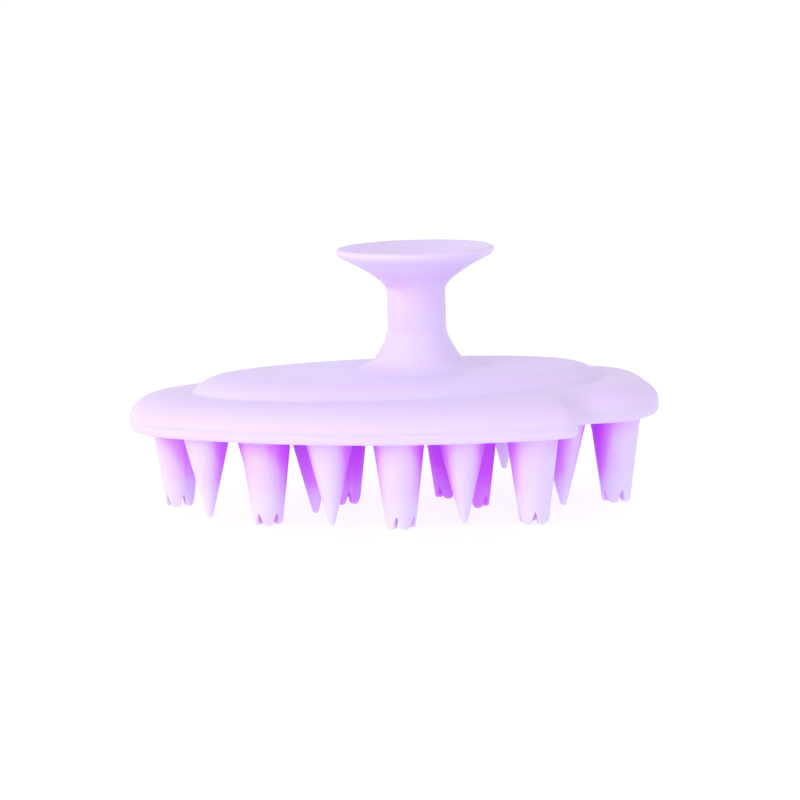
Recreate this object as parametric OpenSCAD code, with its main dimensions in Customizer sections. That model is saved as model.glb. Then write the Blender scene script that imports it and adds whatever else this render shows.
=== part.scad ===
// Scalp massager brush: a dished grip on a slender neck, an oval base with a stepped nose, and soft teeth.
// The part stands on its tooth tips at z = 0, +Z is up, +X points to the nose and the XZ plane halves the base.

/* [Base outline] */
// Half of the widest part of the base
base_half_w = 31.9; // [28:0.1:36]
// Where the base is widest, along the brush
side_x = 16.8; // [13:0.1:19]
// Radius of the long side curves
side_r = 101.6; // [96:0.1:120]
// Radius of the rounded tail end
tail_r = 15; // [13:0.5:17]
// Where the sides stop and step in to the nose
step_x = 30.3; // [29:0.1:32]
// Radius of the outer corner of the step
corner_r = 3.6; // [3.5:0.1:4.5]
// Radius of the inner corner of the step
fillet_r = 5.6; // [5:0.1:5.7]
// Half width of the nose
nose_half_w = 17.6; // [17:0.1:20]
// Front of the nose
nose_x = 49.6; // [48:0.1:51]
// Corner radius of the nose
nose_r = 13.5; // [12:0.1:13.6]

/* [Base heights] */
// Underside of the bristle pad, which is the free length of a crown tooth
pad_z = 16.1; // [15:0.1:18]
// Thickness of the pad's edge flange
flange_t = 2; // [1.6:0.1:2.4]
// Thickness of the base at its flat ledge
ledge_t = 6.5; // [6.3:0.1:7]
// Rise of the plateau above the ledge
plateau_rise = 2.8; // [2.6:0.1:3.2]
// How far in the rolled top edge reaches
roll_w = 4.6; // [4:0.1:5]
// Height of the rolled top edge
roll_h = 4.2; // [3.8:0.1:4.4]
// Radius of the pad's lower edge
pad_edge_r = 1; // [0.6:0.1:1]

/* [Plateau] */
// Centre of the plateau along the brush
plateau_x = 0.9; // [0:0.1:2]
// Half length of the plateau at its foot
plateau_a = 38.1; // [36:0.1:39]
// Half width of the plateau at its foot
plateau_b = 19.4; // [18:0.1:20]
// Width of the plateau's sloping flank
flank_w = 4.2; // [3:0.1:5]

/* [Inside] */
// Side wall of the cover round the pad
wall = 2; // [1.9:0.05:2]
// Thickness of the stiffening core plate
core_t = 2.6; // [2:0.1:2.6]
// Half length of the core plate
core_a = 32; // [28:0.5:33]
// Half width of the core plate
core_b = 13.4; // [11:0.1:13.6]
// Gap left round a piece that sits inside another
gap = 0.05; // [0.02:0.01:0.1]

/* [Grip] */
// Place of the grip along the brush
neck_x = 4.8; // [3:0.1:6]
// Height of the middle of the disc's edge
disc_z = 47.6; // [45:0.1:50]
// Radius of the grip disc
disc_r = 14.8; // [13:0.1:16]
// Thickness of the disc's rounded edge
disc_edge = 1.3; // [1:0.1:1.6]
// Depth of the dished top
dish_depth = 2.4; // [1.5:0.1:3]
// Radius of the neck
neck_r = 5.5; // [5:0.1:6]
// Height of the point that the neck bends about
flex_z = 35.4; // [34:0.1:36]
// Radius of the grip's round foot, about the bending point
foot_r = 13.7; // [13.4:0.1:13.8]

/* [Teeth] */
// Root radius of a crown tooth
crown_r = 4.6; // [4:0.1:4.6]
// End radius of a crown tooth
crown_end_r = 2.35; // [2:0.05:2.6]
// Number of prongs on a crown tooth
prongs = 5; // [4:1:6]
// Depth of the notches between the prongs
notch_depth = 2.8; // [2:0.1:3.2]
// Width of a notch at its mouth
notch_w = 1.7; // [1:0.1:1.9]
// Radius of the hollow in the end of a crown tooth
hollow_r = 1.35; // [1:0.05:1.5]
// Depth of that hollow
hollow_depth = 3.4; // [3:0.1:5]
// Root radius of a cone tooth
cone_r = 4.4; // [4:0.1:4.5]
// Radius of a cone tooth's round tip
cone_tip_r = 0.6; // [0.4:0.05:1]
// How much shorter a cone tooth is than a crown tooth
cone_short = 0.4; // [0:0.1:1]

/* [Hidden] */

lilac = [0.91, 0.84, 0.99];
pale_lilac = [0.93, 0.88, 0.99];
core_white = [0.93, 0.93, 0.94];

$fn = 64;
eps = 0.01;

// Roots of the crown teeth: every other place of the outer ring, from the tail along the -Y side, then the middle ones
CROWNS = [
    [-41, 5.6], [-24.8, -14.6], [-1.3, -23.2], [22.6, -24.6], [40.5, -9.3], [32.8, 11.5], [12.5, 24.4], [-14, 20.4],
    [-9.6, 0.3], [10.2, 1.5], [14, -8], [25.5, -3]
];
// Roots of the cone teeth: the places between those, then the middle ones
CONES = [
    [-35.4, -8.9], [-13.5, -20.2], [10, -24.2], [29.9, -13], [41.5, 2.5], [24, 23.6], [0, 24], [-26.5, 15.3],
    [-26.2, 1], [-15.9, -9.6], [1.5, 12], [16, 12.5], [-12.5, 10.6], [0.3, -11.5]
];

ledge_z = pad_z + ledge_t;
top_z = ledge_z + plateau_rise;
split_z = pad_z + flange_t;
block_z = pad_z + crown_r + 0.5;
core_z = block_z + core_t;
arc_steps = 8;

// Points of a circular arc
function arc(c, r, from, to, n) = [for (i = [0:n]) c + r * [cos(from + (to - from) * i / n), sin(from + (to - from) * i / n)]];

// Half of the base outline, on the -Y side from the tail to the nose, moved inwards by d
function half_outline(d) =
    let (
        rise = side_r - base_half_w,
        r_side = side_r - d,
        tail_x = side_x - sqrt(pow(side_r - tail_r, 2) - rise * rise),
        tail_angle = 360 - acos((tail_x - side_x) / (side_r - tail_r)),
        r_corner = max(corner_r - d, 0.3),
        corner_x = step_x - d - r_corner,
        corner_y = rise - sqrt(pow(r_side - r_corner, 2) - pow(corner_x - side_x, 2)),
        corner_angle = 360 - acos((corner_x - side_x) / (r_side - r_corner)),
        fillet_c = [step_x + fillet_r, -nose_half_w - fillet_r],
        nose_c = [nose_x - nose_r, nose_r - nose_half_w]
    )
    concat(
        arc([tail_x, 0], tail_r - d, 180, tail_angle, arc_steps),
        arc([side_x, rise], r_side, tail_angle + 1, corner_angle - 0.5, 2 * arc_steps),
        arc([corner_x, corner_y], r_corner, corner_angle, 360, arc_steps / 2),
        arc(fillet_c, fillet_r + d, 180, 90, arc_steps / 2),
        arc(nose_c, nose_r - d, 270, 360, arc_steps)
    );

// The whole outline, counter-clockwise, with its -Y half mirrored
function outline(d) =
    let (half = half_outline(d), n = len(half))
    concat(half, [for (i = [n - 1:-1:1]) [half[i].x, -half[i].y]]);

// An ellipse round the plateau's centre
function oval(a, b, n = 48) = [for (i = [0:n - 1]) [plateau_x + a * cos(360 * i / n), b * sin(360 * i / n)]];

// A solid through a stack of closed rings, each [points, height] with the same number of points
module loft(rings) {
    n = len(rings[0][0]);
    last = len(rings) - 1;
    points = [for (ring = rings) for (p = ring[0]) [p.x, p.y, ring[1]]];
    sides = [for (k = [0:last - 1]) for (i = [0:n - 1])
        let (j = (i + 1) % n) [k * n + i, (k + 1) * n + i, (k + 1) * n + j, k * n + j]];
    bottom = [for (i = [0:n - 1]) i];
    top = [for (i = [n - 1:-1:0]) last * n + i];
    polyhedron(points, concat(sides, [bottom, top]), convexity = 4);
}

module slab(points, low, high) {
    translate([0, 0, low]) linear_extrude(high - low) polygon(points);
}

// A point on the plateau's flank: t = 0 at its foot and 1 at its top, with a hollow foot and a round shoulder
function flank(t) = [oval(plateau_a - flank_w * t, plateau_b - flank_w * t), ledge_z + plateau_rise * (3 * t * t - 2 * t * t * t)];

// Grip: dished disc, neck and round foot in one turned solid
module grip() {
    neck_top = disc_z - 7.2;
    edge = disc_edge / 2;
    bell_h = 6.3;
    surface_r = sqrt(foot_r * foot_r - pow(flex_z - top_z, 2));
    foot_angle = acos((flex_z - top_z) / foot_r);
    foot = [for (i = [0:8]) let (a = foot_angle * i / 8) [foot_r * sin(a), flex_z - foot_r * cos(a)]];
    flare_h = 7;
    flare = [for (i = [1:10]) let (t = i / 10) [neck_r + (surface_r - neck_r) * pow(1 - t, 1.4), top_z + flare_h * t]];
    bell = [for (i = [0:10]) let (t = i / 10)
        [neck_r + (disc_r - 0.6 - neck_r) * pow(t, 1.5), neck_top + bell_h * t]];
    lip = [for (a = [-60:20:90]) [disc_r - edge + edge * cos(a), disc_z + edge * sin(a)]];
    dish_r = disc_r - disc_edge;
    dish = [for (i = [0:8]) let (t = 1 - i / 8) [dish_r * t, disc_z + edge * 0.6 - dish_depth * (1 - t * t)]];
    color(lilac) translate([neck_x, 0, 0]) rotate_extrude($fn = 96) polygon(concat(foot, flare, bell, lip, dish));
}

// Top cover: rolled edge, flat ledge and raised plateau, open below for the pad and the core plate
module top_cover() {
    color(lilac) difference() {
        union() {
            loft([
                [outline(0), split_z],
                for (a = [0:18:90]) [outline(roll_w * (1 - cos(a))), ledge_z - roll_h * (1 - sin(a))]
            ]);
            loft([
                [oval(plateau_a, plateau_b), ledge_z - 0.5],
                for (t = [0:0.2:1]) flank(t)
            ]);
        }
        slab(outline(wall), split_z - 1, block_z);
        slab(oval(core_a + gap, core_b + gap), block_z - eps, core_z);
        translate([neck_x, 0, flex_z]) sphere(r = foot_r + gap, $fn = 96);
    }
}

// Core plate: stiffens the base and carries the grip's foot in a shallow bowl
module core_plate() {
    color(core_white) difference() {
        slab(oval(core_a, core_b), block_z, core_z);
        translate([neck_x, 0, flex_z]) sphere(r = foot_r + gap, $fn = 96);
    }
}

// Bristle pad: edge flange below, block inside the cover, and a round seat for each tooth's root
module bristle_pad() {
    color(lilac) difference() {
        union() {
            loft([
                for (a = [0:30:90]) [outline(pad_edge_r * (1 - sin(a))), pad_z + pad_edge_r * (1 - cos(a))],
                [outline(0), split_z]
            ]);
            slab(outline(wall + gap), split_z - 0.5, block_z);
        }
        for (p = CROWNS) translate([p.x, p.y, pad_z]) sphere(r = crown_r + gap);
        for (p = CONES) translate([p.x, p.y, pad_z]) sphere(r = cone_r + gap);
    }
}

// Round root of a tooth, above the pad's underside
module root(r) {
    intersection() {
        sphere(r = r);
        cylinder(h = r, r = r + 1);
    }
}

// Crown tooth: a tapering post with a hollow end, cut into pointed prongs
module crown_tooth(n) {
    turn = n * 17;
    color(pale_lilac) translate([CROWNS[n - 1].x, CROWNS[n - 1].y, 0]) difference() {
        union() {
            cylinder(h = pad_z, r1 = crown_end_r, r2 = crown_r);
            translate([0, 0, pad_z]) root(crown_r);
        }
        translate([0, 0, -1]) cylinder(h = hollow_depth + 1, r = hollow_r);
        for (k = [0:prongs - 1]) rotate([90, 0, turn + 360 * k / prongs]) linear_extrude(crown_r)
            polygon([[-notch_w, -notch_depth], [notch_w, -notch_depth], [0, notch_depth]]);
    }
}

// Cone tooth: a plain cone with a round tip
module cone_tooth(n) {
    tip_z = cone_short + cone_tip_r;
    color(pale_lilac) translate([CONES[n - 1].x, CONES[n - 1].y, 0]) union() {
        translate([0, 0, tip_z]) cylinder(h = pad_z - tip_z, r1 = cone_tip_r, r2 = cone_r);
        translate([0, 0, tip_z]) sphere(r = cone_tip_r);
        translate([0, 0, pad_z]) root(cone_r);
    }
}

grip();
top_cover();
core_plate();
bristle_pad();
for (n = [1:len(CROWNS)]) {
    crown_tooth(n);
}
for (n = [1:len(CONES)]) {
    cone_tooth(n);
}
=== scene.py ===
import math

import bmesh
import bpy
import numpy as np
from mathutils import Matrix, Vector
from mathutils.bvhtree import BVHTree


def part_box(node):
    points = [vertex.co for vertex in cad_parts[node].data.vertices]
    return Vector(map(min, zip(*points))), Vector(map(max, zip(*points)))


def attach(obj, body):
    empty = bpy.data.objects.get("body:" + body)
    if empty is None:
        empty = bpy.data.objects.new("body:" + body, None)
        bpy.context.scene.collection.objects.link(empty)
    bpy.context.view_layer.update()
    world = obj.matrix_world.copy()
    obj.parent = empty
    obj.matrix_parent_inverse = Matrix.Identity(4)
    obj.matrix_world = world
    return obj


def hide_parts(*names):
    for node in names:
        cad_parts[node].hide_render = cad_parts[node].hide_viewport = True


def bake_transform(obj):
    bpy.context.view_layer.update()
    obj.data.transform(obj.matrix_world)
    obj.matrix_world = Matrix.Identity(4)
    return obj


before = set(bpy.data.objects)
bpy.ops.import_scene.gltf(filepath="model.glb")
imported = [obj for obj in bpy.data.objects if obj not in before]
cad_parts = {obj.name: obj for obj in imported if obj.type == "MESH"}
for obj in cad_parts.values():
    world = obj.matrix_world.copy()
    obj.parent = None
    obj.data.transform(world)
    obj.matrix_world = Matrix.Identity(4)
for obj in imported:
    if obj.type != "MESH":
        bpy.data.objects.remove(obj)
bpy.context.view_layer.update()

MM = 0.001

# ---------------------------------------- places read from the CAD frame
pad_low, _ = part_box("bristle_pad")
_, cover_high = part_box("top_cover")
grip_low, grip_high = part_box("grip")
PAD_Z = pad_low.z / MM
TOP_Z = cover_high.z / MM
NOSE_X = cover_high.x / MM
HALF_W = cover_high.y / MM
NECK_X = (grip_low.x + grip_high.x) / 2 / MM
DISC_TOP = grip_high.z / MM
DISC_R = (grip_high.x - grip_low.x) / 2 / MM

# ---------------------------------------- design sizes in millimetres
SIDE_X, SIDE_R = 16.8, 101.6          # long side curve: where it is widest, and its radius
TAIL_R = 15.0
STEP_X = 30.3                         # where the sides step in to the nose
CORNER_R, FILLET_R = 3.6, 5.6
NOSE_HALF_W, NOSE_R = 17.6, 13.5
LEDGE_Z = PAD_Z + 6.5
SPLIT_Z = PAD_Z + 2.0                 # line between the pad's edge and the cover
ROLL_W, ROLL_H = 6.2, 4.3             # rolled top edge: how far in it reaches, and its height
PAD_EDGE_R = 1.0
PLATEAU_X, PLATEAU_A, PLATEAU_B = NECK_X - 3.9, 38.1, 19.4
FLANK_W = 4.4
NECK_R = 5.5
RING_N = 288                          # points in each ring of the base


def arc(cx, cy, r, start, end, n):
    a = np.radians(np.linspace(start, end, n + 1))
    return np.stack([cx + r * np.cos(a), cy + r * np.sin(a)], 1)


def half_outline(d):
    """Half of the base outline from the tail to the nose on the -Y side, moved inwards by d."""
    rise = SIDE_R - HALF_W
    r_side = SIDE_R - d
    reach = SIDE_R - TAIL_R
    tail_x = SIDE_X - math.sqrt(reach * reach - rise * rise)
    tail_angle = 360 - math.degrees(math.acos((tail_x - SIDE_X) / reach))
    r_corner = max(CORNER_R - d, 0.3)
    corner_x = STEP_X - d - r_corner
    corner_y = rise - math.sqrt((r_side - r_corner) ** 2 - (corner_x - SIDE_X) ** 2)
    corner_angle = 360 - math.degrees(math.acos((corner_x - SIDE_X) / (r_side - r_corner)))
    return np.concatenate([
        arc(tail_x, 0, TAIL_R - d, 180, tail_angle, 40),
        arc(SIDE_X, rise, r_side, tail_angle + 0.2, corner_angle - 0.2, 70),
        arc(corner_x, corner_y, r_corner, corner_angle, 360, 16),
        arc(STEP_X + FILLET_R, -NOSE_HALF_W - FILLET_R, FILLET_R + d, 180, 90, 20),
        arc(NOSE_X - NOSE_R, NOSE_R - NOSE_HALF_W, NOSE_R - d, 270, 360, 30),
    ])


def outline(d):
    """The closed outline, resampled so that every inset ring has matching points."""
    half = half_outline(d)
    full = np.concatenate([half, half[-2:0:-1] * [1, -1]])
    closed = np.vstack([full, full[:1]])
    # each point's place is counted by its turn round the plateau, which grows all the way round
    turn = np.unwrap(np.arctan2(closed[:, 1] / PLATEAU_B, (closed[:, 0] - PLATEAU_X) / PLATEAU_A))
    ideal = half_outline(0)
    ideal = np.concatenate([ideal, ideal[-2:0:-1] * [1, -1]])
    ideal = np.vstack([ideal, ideal[:1]])
    along = np.concatenate([[0], np.cumsum(np.linalg.norm(np.diff(ideal, axis=0), axis=1))])
    turn0 = np.unwrap(np.arctan2(ideal[:, 1] / PLATEAU_B, (ideal[:, 0] - PLATEAU_X) / PLATEAU_A))
    targets = np.interp(np.linspace(0, along[-1], RING_N, endpoint=False), along, turn0)
    turn = turn - (turn[0] - turn0[0])
    return np.stack([np.interp(targets, turn, closed[:, k]) for k in (0, 1)], 1), targets


_, TURNS = outline(0)


def oval(inset):
    """The plateau's oval, with a point beside each point of the outline, moved inwards by inset."""
    x = PLATEAU_X + (PLATEAU_A - inset) * np.cos(TURNS)
    return np.stack([x, (PLATEAU_B - inset) * np.sin(TURNS)], 1)


def ring(points, z):
    return np.column_stack([points, np.full(len(points), z)])


def loft(name, rings, close=True, sharp=()):
    """A mesh through a stack of rings of equal length, with a crease along the sharp rings.

    A closed one is capped by a fan at each end.
    """
    n = len(rings[0])
    verts = np.concatenate(rings)
    faces = []
    for k in range(len(rings) - 1):
        for i in range(n):
            j = (i + 1) % n
            faces.append((k * n + i, k * n + j, (k + 1) * n + j, (k + 1) * n + i))
    if close:
        first, last = len(verts), len(verts) + 1
        verts = np.vstack([verts, rings[0].mean(0), rings[-1].mean(0)])
        base = (len(rings) - 1) * n
        for i in range(n):
            j = (i + 1) % n
            faces.append((first, j, i))
            faces.append((last, base + i, base + j))
    mesh = bpy.data.meshes.new(name)
    mesh.from_pydata((verts * MM).tolist(), [], faces)
    mesh.validate()
    if close:
        bm = bmesh.new()
        bm.from_mesh(mesh)
        bmesh.ops.recalc_face_normals(bm, faces=bm.faces)
        bm.to_mesh(mesh)
        bm.free()
    mesh.shade_smooth()
    for edge in mesh.edges:
        a, b = edge.vertices
        if a // n == b // n and a // n in sharp and max(a, b) < n * len(rings):
            edge.use_edge_sharp = True
    obj = bpy.data.objects.new(name, mesh)
    bpy.context.scene.collection.objects.link(obj)
    return obj


# ---------------------------------------- materials
# colour of the silicone where the view is open, then painted shade: a deeper violet painted
# in as more and more of the view is shut off by the brush's own walls
COLOURS_WITH_PAINTED_SHADE = (
    (0.01, (0.79, 0.645, 0.998)),
    (0.12, (0.785, 0.68, 0.998)),
    (0.21, (0.78, 0.645, 0.998)),
    (0.28, (0.77, 0.54, 0.998)),
    (0.36, (0.74, 0.25, 0.998)),
    (0.44, (0.70, 0.11, 0.998)),
    (0.60, (0.66, 0.06, 0.998)),
)


def silicone(name, roughness):
    """Soft translucent silicone: fine moulded grain, slow colour drift, and painted shade that deepens the
    colour in hollows.
    """
    mat = bpy.data.materials.new(name)
    mat.use_nodes = True
    nt = mat.node_tree
    bsdf = nt.nodes["Principled BSDF"]
    coord = nt.nodes.new("ShaderNodeTexCoord")

    def noise(scale, detail):
        node = nt.nodes.new("ShaderNodeTexNoise")
        node.inputs["Scale"].default_value = scale
        node.inputs["Detail"].default_value = detail
        nt.links.new(coord.outputs["Object"], node.inputs["Vector"])
        return node

    # painted shade: the more a point is closed in by the brush's own walls, the deeper violet its colour
    painted_shade = nt.nodes.new("ShaderNodeAttribute")
    painted_shade.attribute_name = "painted_shade"
    drift = nt.nodes.new("ShaderNodeMapRange")
    drift.inputs["From Min"].default_value = 0.3
    drift.inputs["From Max"].default_value = 0.7
    drift.inputs["To Min"].default_value = -0.025
    drift.inputs["To Max"].default_value = 0.025
    nt.links.new(noise(55, 3).outputs["Fac"], drift.inputs["Value"])
    # painted shade plus a small random drift in tone picks the colour from the ramp
    shade_with_drift = nt.nodes.new("ShaderNodeMath")
    nt.links.new(painted_shade.outputs["Fac"], shade_with_drift.inputs[0])
    nt.links.new(drift.outputs["Result"], shade_with_drift.inputs[1])
    ramp = nt.nodes.new("ShaderNodeValToRGB")
    stops = ramp.color_ramp.elements
    while len(stops) < len(COLOURS_WITH_PAINTED_SHADE):
        stops.new(0.5)
    for stop, (place, colour) in zip(stops, COLOURS_WITH_PAINTED_SHADE):
        stop.position = place
        stop.color = (*colour, 1)
    nt.links.new(shade_with_drift.outputs["Value"], ramp.inputs["Fac"])
    nt.links.new(ramp.outputs["Color"], bsdf.inputs["Base Color"])

    rough = nt.nodes.new("ShaderNodeMapRange")
    rough.inputs["From Min"].default_value = 0.3
    rough.inputs["From Max"].default_value = 0.7
    rough.inputs["To Min"].default_value = roughness - 0.05
    rough.inputs["To Max"].default_value = roughness + 0.06
    nt.links.new(noise(240, 4).outputs["Fac"], rough.inputs["Value"])
    nt.links.new(rough.outputs["Result"], bsdf.inputs["Roughness"])

    fine = nt.nodes.new("ShaderNodeBump")
    fine.inputs["Strength"].default_value = 0.10
    fine.inputs["Distance"].default_value = 0.00005
    nt.links.new(noise(5200, 2).outputs["Fac"], fine.inputs["Height"])
    soft = nt.nodes.new("ShaderNodeBump")
    soft.inputs["Strength"].default_value = 0.10
    soft.inputs["Distance"].default_value = 0.0003
    nt.links.new(noise(130, 2).outputs["Fac"], soft.inputs["Height"])
    nt.links.new(fine.outputs["Normal"], soft.inputs["Normal"])
    nt.links.new(soft.outputs["Normal"], bsdf.inputs["Normal"])

    bsdf.inputs["IOR"].default_value = 1.41
    bsdf.inputs["Subsurface Weight"].default_value = 0.3
    bsdf.inputs["Subsurface Radius"].default_value = (1.0, 1.0, 1.0)
    bsdf.inputs["Subsurface Scale"].default_value = 0.0008
    bsdf.inputs["Specular IOR Level"].default_value = 0.28
    bsdf.inputs["Sheen Weight"].default_value = 0.03
    bsdf.inputs["Sheen Roughness"].default_value = 0.5
    return mat


def plain(name, colour, roughness, scale, low):
    """A matt surface with a faint mottle between low times the colour and the colour."""
    mat = bpy.data.materials.new(name)
    mat.use_nodes = True
    nt = mat.node_tree
    bsdf = nt.nodes["Principled BSDF"]
    coord = nt.nodes.new("ShaderNodeTexCoord")
    tex = nt.nodes.new("ShaderNodeTexNoise")
    tex.inputs["Scale"].default_value = scale
    tex.inputs["Detail"].default_value = 4
    ramp = nt.nodes.new("ShaderNodeValToRGB")
    ramp.color_ramp.elements[0].color = (*[c * low for c in colour], 1)
    ramp.color_ramp.elements[1].color = (*colour, 1)
    bump = nt.nodes.new("ShaderNodeBump")
    bump.inputs["Strength"].default_value = 0.05
    bump.inputs["Distance"].default_value = 0.0001
    nt.links.new(coord.outputs["Object"], tex.inputs["Vector"])
    nt.links.new(tex.outputs["Fac"], ramp.inputs["Fac"])
    nt.links.new(ramp.outputs["Color"], bsdf.inputs["Base Color"])
    nt.links.new(tex.outputs["Fac"], bump.inputs["Height"])
    nt.links.new(bump.outputs["Normal"], bsdf.inputs["Normal"])
    bsdf.inputs["Roughness"].default_value = roughness
    return mat


cover_mat = silicone("cover_silicone", 0.46)
grip_mat = silicone("grip_silicone", 0.44)
pad_mat = silicone("pad_silicone", 0.48)
tooth_mat = silicone("tooth_silicone", 0.45)
core_mat = plain("core_plastic", (0.82, 0.82, 0.84), 0.5, 300, 0.94)
floor_mat = plain("studio_floor", (0.17, 0.17, 0.171), 0.7, 6, 0.985)


def wear(obj, mat):
    """Gives an object its one material."""
    obj.data.materials.clear()
    obj.data.materials.append(mat)


# ---------------------------------------- cover: side, rolled edge, ledge, plateau
def insets(d):
    return outline(d)[0]


SKIRT_R, SKIRT_H = 13.2, 7.8           # how far the neck's foot spreads, and from which height
FLARE_W = 4.3                          # part of that spread that the curved flare takes
SINK = 0.08                            # the foot's rim starts this far below the plateau


def flare(t):
    """Outline of the neck's foot: t = 0 far out on the plateau, 1 where the neck is straight."""
    near, far = (1 - t) ** 1.5, max(0.0, 1 - t / 0.22) ** 2
    u = min(1.0, t / 0.13)
    radius = NECK_R + FLARE_W * near + (SKIRT_R - NECK_R - FLARE_W) * far
    return (radius, TOP_Z - SINK + SKIRT_H * t ** 1.03 * u * u * (3 - 2 * u))


def keep_out(points, limit):
    """Moves a ring's points out to the limit ring where they would pass inside it."""
    def reach(q):
        return np.hypot((q[:, 0] - PLATEAU_X) / PLATEAU_A, q[:, 1] / PLATEAU_B)
    inside = reach(points) < reach(limit)
    return np.where(inside[:, None], limit, points)


FOOT_OUT, CREASE = 0.7, 0.12           # spread of the plateau's foot over the ledge, and its crease's depth
CROWN_IN = 0.8                         # the plateau's rounded shoulder goes in this far past the flank
HUB_R = 7.0                            # the plateau's top ends under the grip
foot = oval(-FOOT_OUT)
rings = [ring(insets(4.0), SPLIT_Z), ring(insets(0), SPLIT_Z)]
for a in np.linspace(0, 90, 16):
    turn = math.radians(a)
    edge_ring = keep_out(insets(ROLL_W * (1 - math.cos(turn))), foot)
    rings.append(ring(edge_ring, LEDGE_Z - ROLL_H * (1 - math.sin(turn))))
rolled = keep_out(insets(ROLL_W), foot)
for t in (0.33, 0.67, 0.85, 0.95):
    rings.append(ring(rolled * (1 - t) + foot * t, LEDGE_Z - CREASE * t ** 6))
RISE = TOP_Z - LEDGE_Z
for t in np.concatenate([[0.02, 0.04, 0.06, 0.09], np.linspace(0.12, 1, 20)]):
    up = (1 - (1 - t) ** 2.2) * min(1, t / 0.22) ** 0.6
    flank = oval(-FOOT_OUT + (FLANK_W + FOOT_OUT + CROWN_IN) * t)
    rings.append(ring(flank, LEDGE_Z - CREASE + (RISE - 0.1 + CREASE) * up))
last = oval(FLANK_W + CROWN_IN)
neck_turn = np.arctan2(last[:, 1], last[:, 0] - NECK_X)
round_neck = np.stack([np.cos(neck_turn), np.sin(neck_turn)], 1)
hub = round_neck * HUB_R + [NECK_X, 0]
for t in np.linspace(0.1, 1, 14):
    rings.append(ring(last * (1 - t) + hub * t, TOP_Z - 0.1 * max(0, 1 - t / 0.3) ** 2))
cover = loft("cover_skin", rings, sharp=(1,))
wear(cover, cover_mat)

# ---------------------------------------- pad: edge flange and recessed underside
RECESS, LIP_W = 0.45, 2.6
BLOCK_IN, BLOCK_H = 1.0, 1.2           # the pad's block stands inside the cover
rings = [ring(insets(BLOCK_IN + 2), SPLIT_Z + BLOCK_H), ring(insets(BLOCK_IN), SPLIT_Z + BLOCK_H - 0.5)]
rings += [ring(insets(BLOCK_IN), SPLIT_Z), ring(insets(0), SPLIT_Z)]
seam_ring = len(rings) - 1
for a in np.linspace(0, 90, 9):
    turn = math.radians(a)
    edge_ring = insets(PAD_EDGE_R * (1 - math.cos(turn)))
    rings.append(ring(edge_ring, PAD_Z + PAD_EDGE_R * (1 - math.sin(turn))))
for t in np.linspace(0, 1, 7):
    rings.append(ring(insets(LIP_W - 0.6 + 0.9 * t), PAD_Z + RECESS * t * t * (3 - 2 * t)))
pad = loft("pad_skin", rings, sharp=(seam_ring,))
wear(pad, pad_mat)

# ---------------------------------------- grip
def turned(profile, centre, n):
    """Rings round a vertical axis from (radius, height) pairs."""
    a = np.linspace(0, 2 * math.pi, n, endpoint=False)
    unit = np.stack([np.cos(a), np.sin(a)], 1)
    return [ring(unit * max(r, 0.02) + centre, z) for r, z in profile]


FOOT_DEPTH = 5.0                       # the grip's foot goes on below the plateau
BELL_LOW, BELL_H = 7.9, 6.3            # the bell under the disc starts this far down, and its height
LIP = 0.65                             # radius of the disc's rounded lip
DISH_R, DISH = DISC_R - 1.45, 2.3      # radius and depth of the dished top
profile = [(SKIRT_R * 0.6, TOP_Z - FOOT_DEPTH), (SKIRT_R, TOP_Z - FOOT_DEPTH + 1), (SKIRT_R, TOP_Z - 0.5)]
profile += [flare(t) for t in np.linspace(0, 1, 34)]
for z in np.linspace(TOP_Z + SKIRT_H + 0.6, DISC_TOP - BELL_LOW - 0.3, 7):
    profile.append((NECK_R, z))
lip_z = DISC_TOP - LIP
for u in np.linspace(0.06, 1, 20):
    profile.append((NECK_R + (DISC_R - 0.55 - NECK_R) * u ** 1.5, DISC_TOP - BELL_LOW + BELL_H * u))
for a in np.linspace(-50, 100, 12):
    turn = math.radians(a)
    profile.append((DISC_R - LIP + LIP * math.cos(turn), lip_z + LIP * math.sin(turn)))
for t in np.linspace(1, 0, 22):
    profile.append((DISH_R * t, lip_z + 0.35 - DISH * (1 - t ** 2.2)))
grip = loft("grip_skin", turned(profile, np.array([NECK_X, 0.0]), 128))
wear(grip, grip_mat)

# ---------------------------------------- teeth
PRONGS, NOTCH = 5, 2.6                 # prongs on a crown, and how deep the notches between them are
HOLLOW_R, HOLLOW_Z = 1.3, 3.2          # hollow in a crown's end
PRONG_W, PRONG_ROUND = 0.55, 0.35      # share of the pitch that a prong's round end takes, its height
CROWN_R, CROWN_END_R = 4.7, 2.6
CONE_R, CONE_TIP, CONE_SHORT = 4.4, 0.6, 0.4
ROOT_FILLET, ROOT_OUT = 0.9, 0.55      # height and width of the fillet where a tooth leaves the pad
ROOT_TOP = PAD_Z + 1.2                 # a tooth's root ends inside the pad
TAPER_TOP = PAD_Z - 1.6                # its plain taper starts here
CROWN_SIDES, CONE_SIDES = 80, 48


def root_flare(z, r):
    """Adds a small fillet where a tooth leaves the pad."""
    up = (z - (PAD_Z - ROOT_FILLET)) / ROOT_FILLET
    return r + (ROOT_OUT * up * up if up > 0 else 0)


def tooth_heights(low):
    """Heights of a tooth's rings, from inside the pad down to where its end starts."""
    fillet = np.linspace(PAD_Z + RECESS, PAD_Z - ROOT_FILLET, 7)
    return np.concatenate([[ROOT_TOP], fillet, np.linspace(TAPER_TOP, low, 12)])


def crown_radius(z):
    return CROWN_END_R + (CROWN_R - CROWN_END_R) * (z / PAD_Z)


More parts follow.
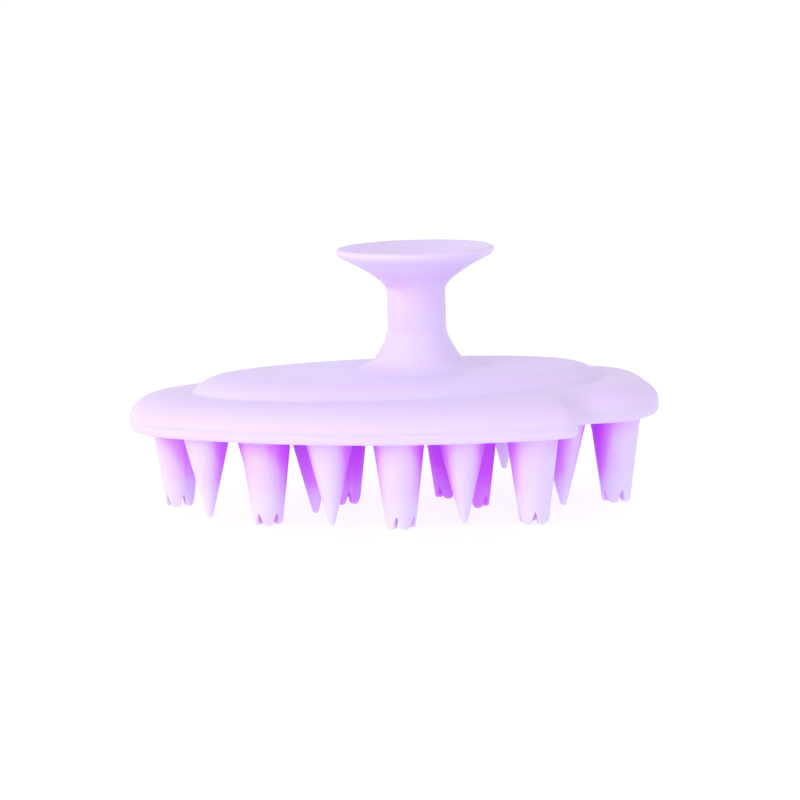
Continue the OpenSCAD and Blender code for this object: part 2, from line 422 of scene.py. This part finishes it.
def crown_tooth(name, x, y, turn):
    a = np.linspace(0, 2 * math.pi, CROWN_SIDES, endpoint=False)
    unit = np.stack([np.cos(a), np.sin(a)], 1)
    phase = (a - turn) * PRONGS / (2 * math.pi)
    saw = np.abs(phase - np.round(phase)) * 2   # 0 at the middle of a prong, 1 in a notch
    round_end = PRONG_ROUND * np.minimum(saw / PRONG_W, 1) ** 2.5
    notch = (NOTCH - PRONG_ROUND) * np.clip((saw - PRONG_W) / (1 - PRONG_W), 0, 1)
    edge = round_end + notch
    end_top = NOTCH + 1.2
    rings = [ring(unit * CROWN_R * 0.6, ROOT_TOP)]
    for z in tooth_heights(end_top):
        rings.append(ring(unit * root_flare(min(z, PAD_Z + 0.1), crown_radius(z)), z))
    for t in (0.25, 0.5, 0.75, 0.92):
        z = end_top * (1 - t) + edge * t
        rings.append(np.column_stack([unit * crown_radius(z)[:, None], z]))
    r_out = crown_radius(edge)
    for s, dz in ((0.0, 0.10), (0.12, 0.02), (0.5, 0.0), (0.88, 0.02), (1.0, 0.12)):
        r = r_out * (1 - s) + HOLLOW_R * s - (0.08 if s == 0 else 0)
        rings.append(np.column_stack([unit * r[:, None], edge + dz]))
    for t in (0.4, 0.8, 1.0):
        z = (edge + 0.12) * (1 - t) + HOLLOW_Z * t
        rings.append(np.column_stack([unit * (HOLLOW_R - 0.25 * t), z]))
    rings.append(ring(unit * 0.3, HOLLOW_Z + 0.25))
    for k in range(len(rings)):
        rings[k] = rings[k] + [x, y, 0]
    return loft(name, rings)


def cone_tooth(name, x, y):
    profile = [(CONE_R * 0.6, ROOT_TOP)]
    tip_z = CONE_SHORT + CONE_TIP
    for z in tooth_heights(tip_z + 0.3):
        f = (z - tip_z) / (PAD_Z - tip_z)
        profile.append((root_flare(min(z, PAD_Z + 0.1), CONE_TIP + (CONE_R - CONE_TIP) * f ** 0.96), z))
    for a in np.linspace(0, 88, 8):
        turn = math.radians(a)
        profile.append((CONE_TIP * math.cos(turn), tip_z - CONE_TIP * math.sin(turn)))
    return loft(name, turned(profile, np.array([x, y]), CONE_SIDES))


teeth = []
for node in sorted(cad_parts):
    kind, _, number = node.rpartition("_")
    if kind not in ("crown_tooth", "cone_tooth"):
        continue
    low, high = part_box(node)
    x, y = (low.x + high.x) / 2 / MM, (low.y + high.y) / 2 / MM
    if kind == "crown_tooth":
        piece = crown_tooth(node + "_skin", x, y, math.radians(int(number) * 17 - 54))
    else:
        piece = cone_tooth(node + "_skin", x, y)
    wear(piece, tooth_mat)
    teeth.append((piece, node, x, y))

# ---------------------------------------- painted shade: how closed in each point is by the brush's walls
RAYS, SHADE_REACH = 18, 0.026           # directions looked in from each point for the painted shade, and how far
OUTER_SPREAD, INNER_SPREAD = 0.55, 0.8 # share of a tooth's painted shade that is evened out over it
LAST_OUTER = 8                         # teeth up to this number stand in the outer ring
UNDER = 0.05                           # painted shade added to a tooth, as it stands under the base
SHUT_MOST, OPEN_MOST = 0.5, 0.2        # limits of the painted shade: on a tooth before UNDER, and on the open cover
END_H = 3.4                            # a tooth's thin end gets less painted shade over this height


def painted_shade(pieces):
    """Stores on each point, as its amount of painted shade, how much of the view out of it is closed off by
    the brush's own walls.

    pieces are (object, spread): the share of a tooth's painted shade that is evened out over it, 0
    for none, or None for a piece that lies open.
    """
    verts, polys, base = [], [], 0
    for obj, _ in pieces:
        verts += [v.co.copy() for v in obj.data.vertices]
        polys += [[i + base for i in f.vertices] for f in obj.data.polygons]
        base += len(obj.data.vertices)
    tree = BVHTree.FromPolygons(verts, polys)
    k = np.arange(RAYS) + 0.5
    height = np.sqrt(1 - k / RAYS)
    around = k * math.pi * (3 - math.sqrt(5))
    flat = np.sqrt(1 - height ** 2)
    local = np.stack([flat * np.cos(around), flat * np.sin(around), height], 1)
    for obj, spread in pieces:
        mesh = obj.data
        count = len(mesh.vertices)
        co = np.array([v.co for v in mesh.vertices])
        normal = np.array([v.normal for v in mesh.vertices])
        side = np.cross(normal, [0.31, 0.17, 0.93])
        side /= np.maximum(np.linalg.norm(side, axis=1), 1e-9)[:, None]
        other = np.cross(normal, side)
        start = co + normal * 0.00015
        shut = np.zeros(count)
        for i in range(count):
            basis = np.stack([side[i], other[i], normal[i]])
            origin = Vector(start[i])
            for d in local @ basis:
                hit = tree.ray_cast(origin, Vector(d), SHADE_REACH)
                if hit[0] is not None and hit[1].dot(Vector(d)) < 0:
                    shut[i] += 1 - 0.6 * hit[3] / SHADE_REACH
        shut /= RAYS
        edges = np.array([e.vertices[:] for e in mesh.edges])
        degree = np.bincount(edges.ravel(), minlength=count)
        for _ in range(3):
            total = np.bincount(edges[:, 0], shut[edges[:, 1]], count)
            total += np.bincount(edges[:, 1], shut[edges[:, 0]], count)
            shut = 0.4 * shut + 0.6 * total / np.maximum(degree, 1)
        if spread is None:
            shut = np.minimum(shut, OPEN_MOST)
        elif spread:
            # painted shade is evened out over a slender piece, so it is nearly even all through
            up = (co[:, 2] - co[:, 2].min()) / MM
            limit = np.median(shut) + np.clip((up - END_H) / END_H, 0, 1)
            shut = np.minimum(np.minimum(shut, limit), SHUT_MOST)
            shut = (1 - spread) * shut + spread * shut.mean() + UNDER
            shut -= UNDER * np.clip(2 - up / END_H, 0, 1)
        mesh.attributes.new("painted_shade", "FLOAT", "POINT").data.foreach_set("value", shut.astype(np.float32))


def spread_in(node):
    return INNER_SPREAD if int(node.rpartition("_")[2]) > LAST_OUTER else OUTER_SPREAD


painted_shade([(cover, None), (pad, 0), (grip, 0)] + [(piece, spread_in(node)) for piece, node, _, _ in teeth])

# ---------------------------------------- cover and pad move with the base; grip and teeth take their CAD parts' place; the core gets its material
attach(cover, "base")
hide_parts("top_cover")
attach(pad, "base")
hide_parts("bristle_pad")
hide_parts("grip")
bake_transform(grip)
for piece, node, x, y in teeth:
    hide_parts(node)
    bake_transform(piece)

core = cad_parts["core_plate"]
core.data.materials.clear()
core.data.materials.append(core_mat)

# ---------------------------------------- studio: a round sweep, soft lights, camera
FLOOR_GLOW, SKY = 0.84, 0.66               # light that the floor and the surroundings give off
FLAT_R, BEND_R, WALL_TOP = 1.5, 0.9, 1.6   # metres: the flat floor, its upward bend and the wall's top
sweep_profile = [(0.0001, 0.0)] + [(r, 0.0) for r in np.linspace(0.1, FLAT_R, 15)]
for a in np.linspace(0.1, math.pi / 2, 12):
    sweep_profile.append((FLAT_R + BEND_R * math.sin(a), BEND_R * (1 - math.cos(a))))
sweep_profile += [(FLAT_R + BEND_R, WALL_TOP)]
angles = np.linspace(0, 2 * math.pi, 96, endpoint=False)
circle = np.stack([np.cos(angles), np.sin(angles)], 1)
sweep_rings = [ring(circle * r / MM, z / MM) for r, z in reversed(sweep_profile)]
sweep = loft("studio_sweep", sweep_rings, close=False)
wear(sweep, floor_mat)
floor_shader = floor_mat.node_tree.nodes["Principled BSDF"]
floor_shader.inputs["Emission Color"].default_value = (1, 1, 1, 1)
floor_shader.inputs["Emission Strength"].default_value = FLOOR_GLOW

world = bpy.data.worlds.new("studio")
world.use_nodes = True
world.node_tree.nodes["Background"].inputs["Color"].default_value = (1, 1, 1, 1)
world.node_tree.nodes["Background"].inputs["Strength"].default_value = SKY
bpy.context.scene.world = world

LIGHT_AIM = (0, 0, 0.02)               # metres


def softbox(name, place, size, power):
    """A soft rectangular light aimed at the brush."""
    light = bpy.data.lights.new(name, "AREA")
    light.shape = "RECTANGLE"
    light.size, light.size_y = size
    light.energy = power
    obj = bpy.data.objects.new(name, light)
    obj.location = place
    obj.rotation_euler = (Vector(LIGHT_AIM) - Vector(place)).to_track_quat("-Z", "Y").to_euler()
    bpy.context.scene.collection.objects.link(obj)


softbox("key", (-0.38, -0.24, 0.24), (0.28, 0.28), 0.65)
softbox("front", (-0.5, -0.9, 0.30), (0.8, 0.5), 0.75)
softbox("top", (-0.2, 0.1, 1.1), (1.0, 1.0), 0.62)

PITCH, ROLL, YAW = 9.4, 1.7, 5.0       # degrees: down, clockwise and round the brush
DISTANCE, VIEW_W = 400.0, 150.94       # mm to the neck, and the view's width there
NECK_RIGHT, NECK_UP = 3.49, 3.40       # mm from the middle of the view to the neck's foot
SENSOR_W = 36.0                        # mm
pitch, roll, yaw = (math.radians(v) for v in (PITCH, ROLL, YAW))
level = Vector((math.sin(yaw), math.cos(yaw), 0))
forward = level * math.cos(pitch) - Vector((0, 0, math.sin(pitch)))
right0 = Vector((math.cos(yaw), -math.sin(yaw), 0))
up0 = right0.cross(forward)
right = math.cos(roll) * right0 - math.sin(roll) * up0
up = math.sin(roll) * right0 + math.cos(roll) * up0
place = Vector((NECK_X, 0, LEDGE_Z)) - DISTANCE * forward
place -= NECK_RIGHT * right + NECK_UP * up
cam = bpy.data.cameras.new("camera")
cam.sensor_width = SENSOR_W
cam.lens = DISTANCE * SENSOR_W / VIEW_W
cam.clip_start, cam.clip_end = 0.01, 20
camera = bpy.data.objects.new("camera", cam)
rotation = Matrix((right, up, -forward)).transposed()
camera.matrix_world = Matrix.Translation(place * MM) @ rotation.to_4x4()
bpy.context.scene.collection.objects.link(camera)
bpy.context.scene.camera = camera
bpy.context.scene.view_settings.view_transform = "Standard"
